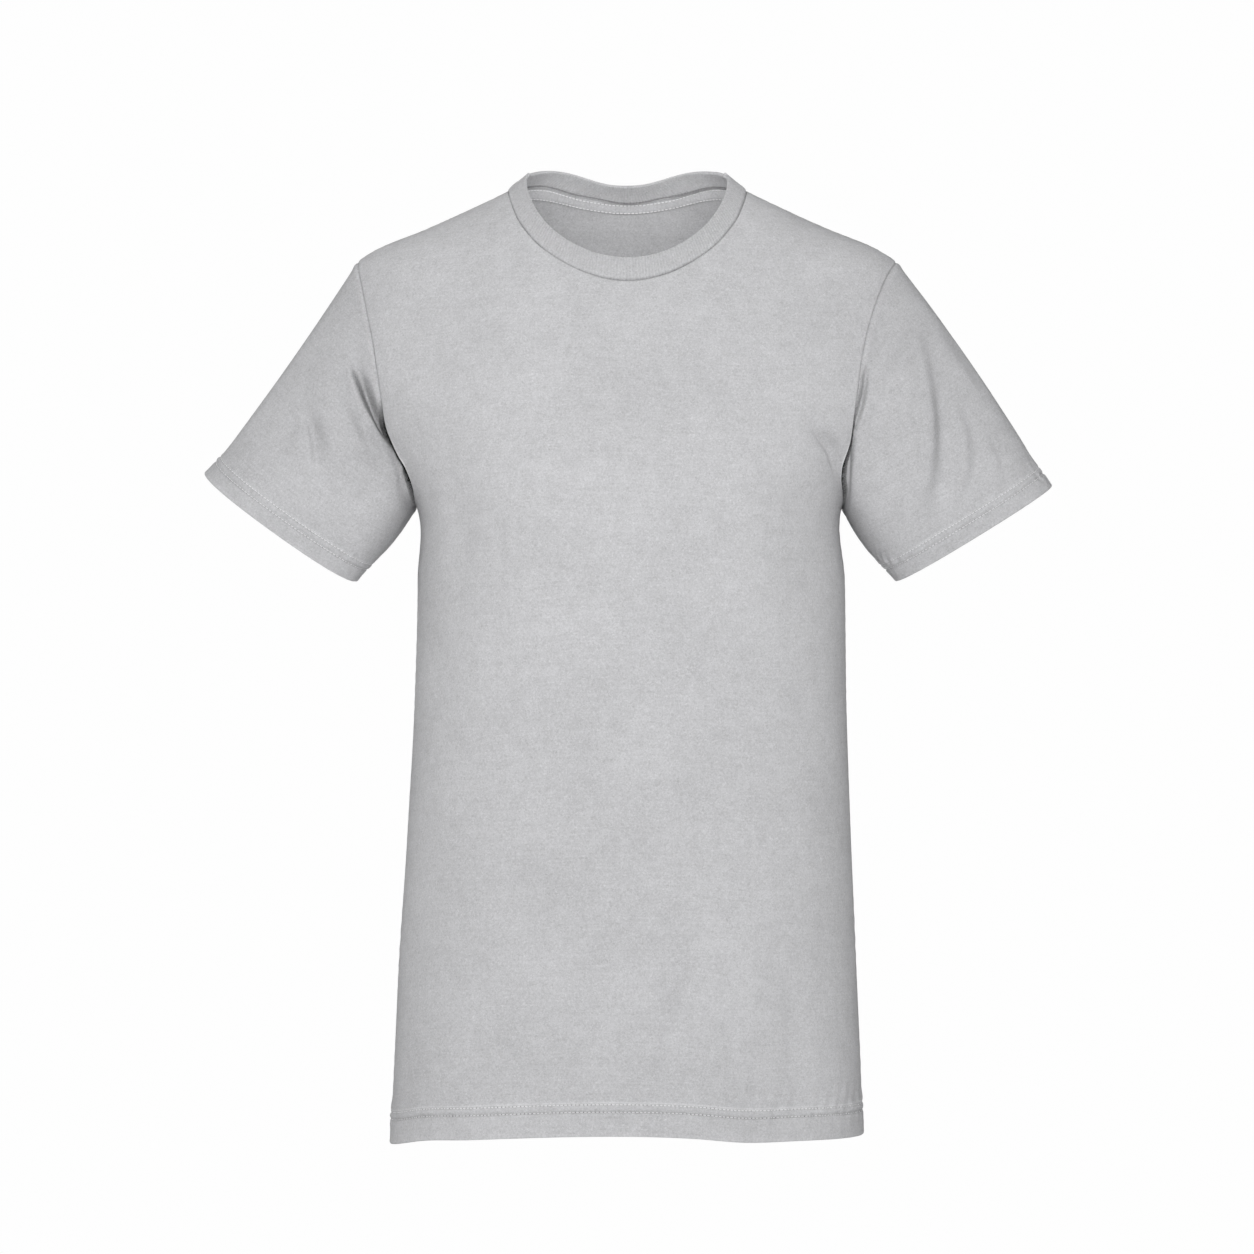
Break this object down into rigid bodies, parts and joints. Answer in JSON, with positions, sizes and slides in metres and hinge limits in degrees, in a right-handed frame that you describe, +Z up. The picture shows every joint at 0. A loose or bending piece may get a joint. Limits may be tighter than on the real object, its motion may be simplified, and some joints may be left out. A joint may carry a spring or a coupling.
{
  "type": "crew neck t-shirt",
  "caption": "Plain light grey crew neck t-shirt with short set-in sleeves and a rib neckband, in its hollow worn shape.",
  "frame": {"origin": "between the shoulders, level with the two points where the shoulder seams meet the neckband, where the wearer's shoulders hold the shirt up", "axes": "+Z up, -Y out of the chest, +X to the wearer's left"},
  "size_m": [0.6494, 0.2568, 0.7535],
  "materials": {
    "jersey": "washed plain cotton jersey, matt, faintly mottled",
    "rib": "one by one cotton rib, matt",
    "tape": "jersey tape, matt"
  },
  "bodies": {
    "root": {"front": "jersey", "back": "jersey", "sleeve_right": "jersey", "sleeve_left": "jersey", "neckband": "rib", "neck_tape": "tape"}
  },
  "joints": []
}
